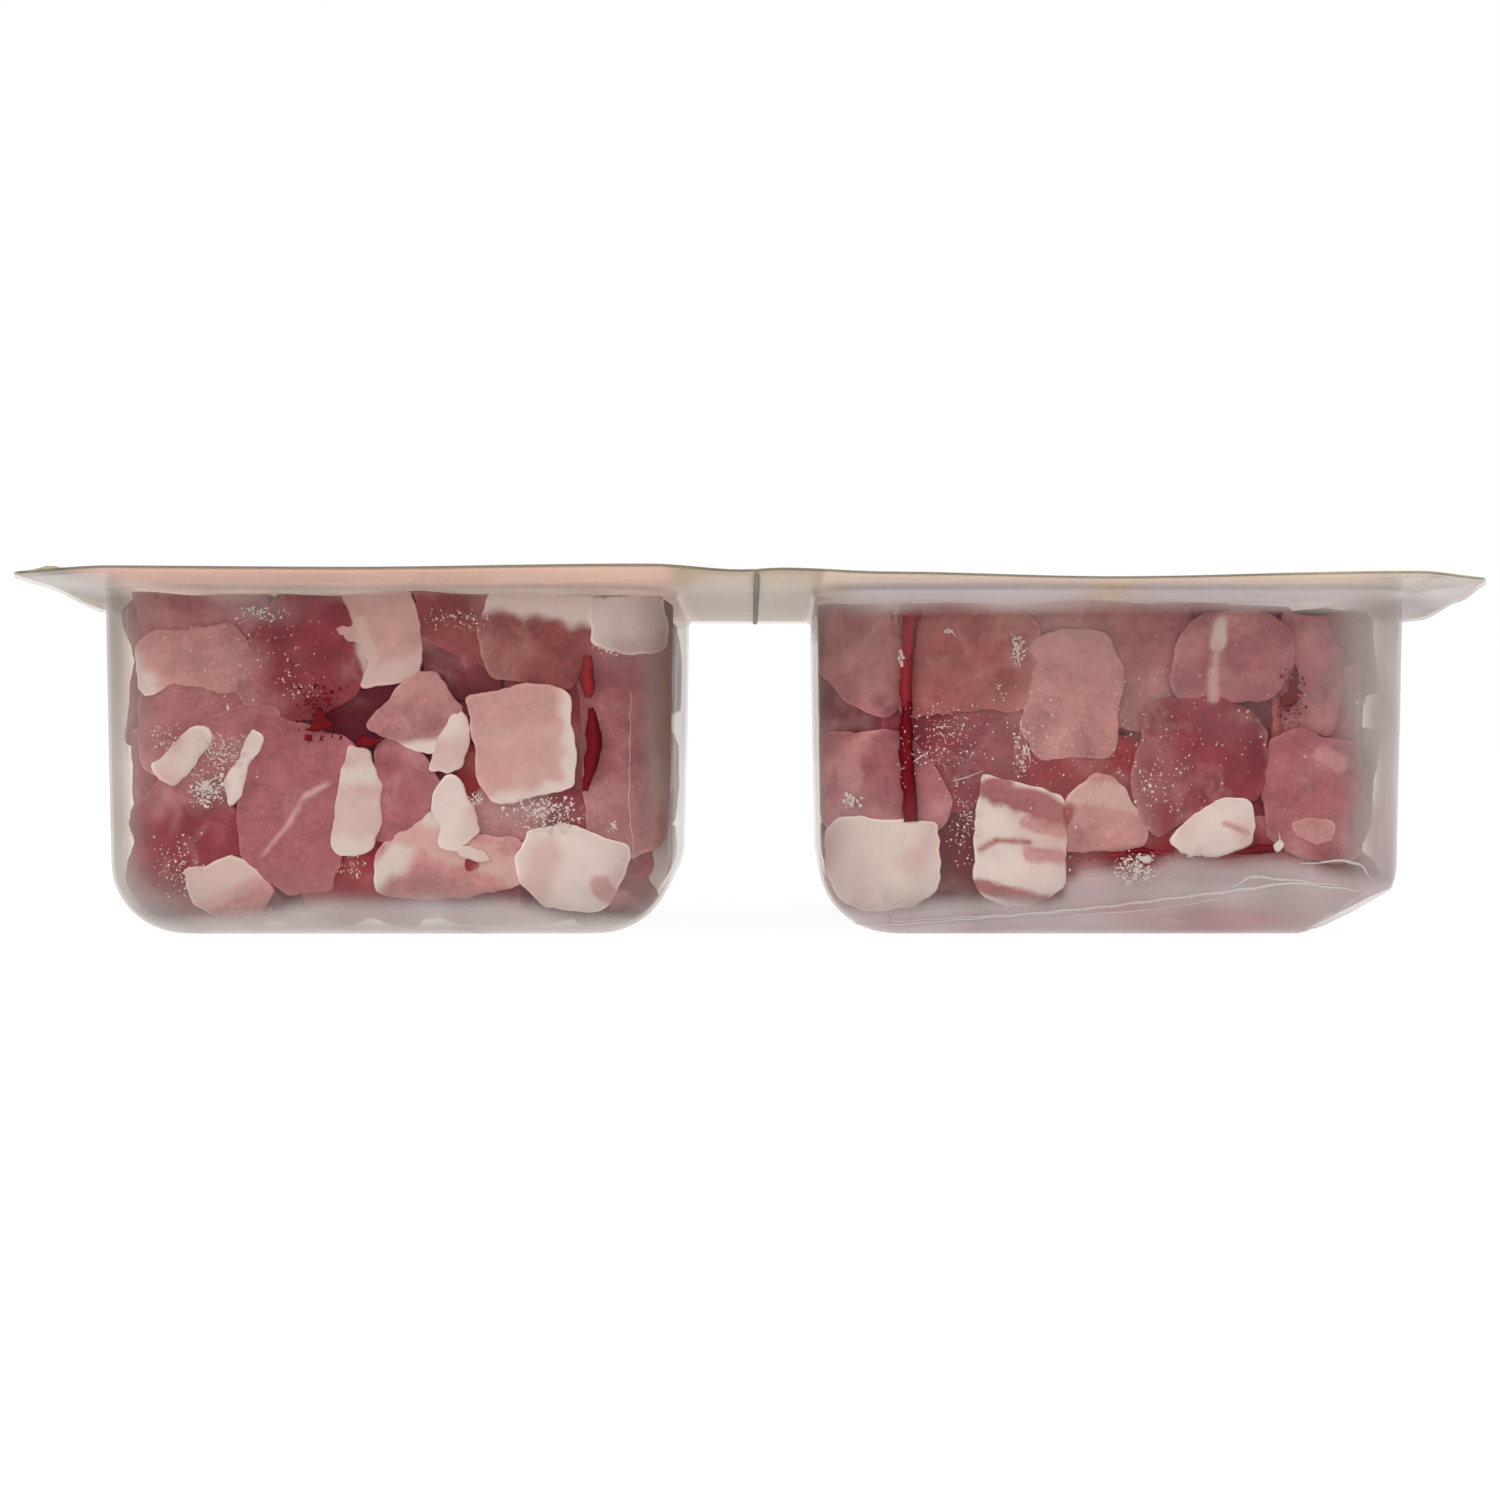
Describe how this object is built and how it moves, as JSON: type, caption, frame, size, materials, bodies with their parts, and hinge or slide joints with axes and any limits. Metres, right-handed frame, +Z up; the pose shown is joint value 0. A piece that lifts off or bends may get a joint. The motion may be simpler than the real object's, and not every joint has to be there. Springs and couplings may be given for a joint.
{
  "type": "diced pancetta twin pack",
  "caption": "Sealed clear twin tub of diced pancetta with a printed lid film, a wide sealing lip and a tear line between the tubs.",
  "frame": {"origin": "on the surface that the pack stands on, under the middle of the sealing lip", "axes": "+X along the long side, towards the crushed tub; -Y towards the side that shows; +Z up"},
  "size_m": [0.15, 0.086, 0.039],
  "materials": {
    "clear_film": "clear formed plastic film, a little hazy, with soft gloss and fine draw marks",
    "printed_film": "thin sealed film printed in cream, olive and burgundy fields, satin gloss",
    "cured_pork": "raw cured pork, wine red lean with pale pink and cream fat, moist",
    "pork_fat": "cream to pale pink cured fat, smooth and waxy",
    "meat_juice": "dark crimson juice, glossy and thin"
  },
  "bodies": {
    "root": {"tray": "clear_film", "lid_film": "printed_film", "dice_left": "cured_pork", "dice_right": "cured_pork"}
  },
  "joints": []
}
